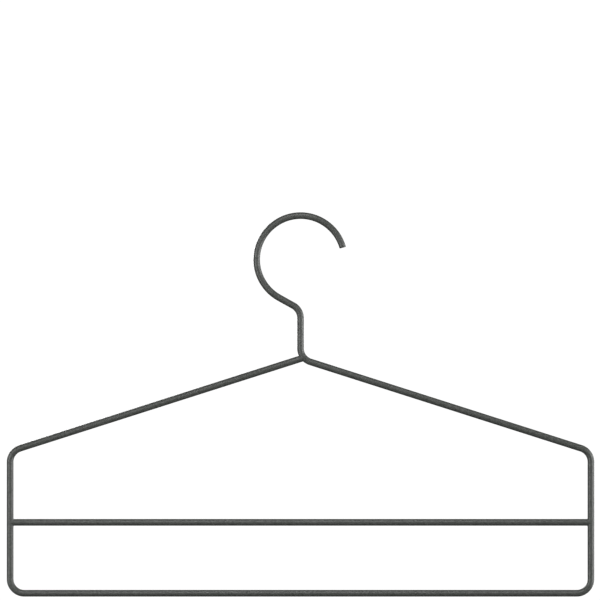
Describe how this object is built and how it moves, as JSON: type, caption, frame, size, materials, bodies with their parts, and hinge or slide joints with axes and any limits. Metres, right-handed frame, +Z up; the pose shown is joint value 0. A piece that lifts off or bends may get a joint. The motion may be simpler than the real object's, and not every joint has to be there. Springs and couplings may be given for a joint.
{
  "type": "trouser hanger",
  "caption": "Flat wire trouser hanger: open round hook, bent neck, sloping shoulders, straight sides with rounded corners and a welded cross bar for folded trousers.",
  "frame": {"origin": "the hook's seat: the highest point inside the hook, where the hanger rests on its rail", "axes": "+X along the shoulders, towards the side on which the hook is open; +Y square to the flat hanger, along the rail, away from the viewer of the picture; +Z up"},
  "size_m": [0.435, 0.005, 0.2846],
  "materials": {
    "wire_coat": "matte fine-textured powder coat, dark grey",
    "weld_coat": "the same matte powder coat, a little thicker where it pools over the weld"
  },
  "bodies": {
    "root": {"hook_frame_wire": "wire_coat", "trouser_bar": "wire_coat", "apex_weld": "weld_coat", "bar_weld_left": "weld_coat", "bar_weld_right": "weld_coat"}
  },
  "joints": []
}
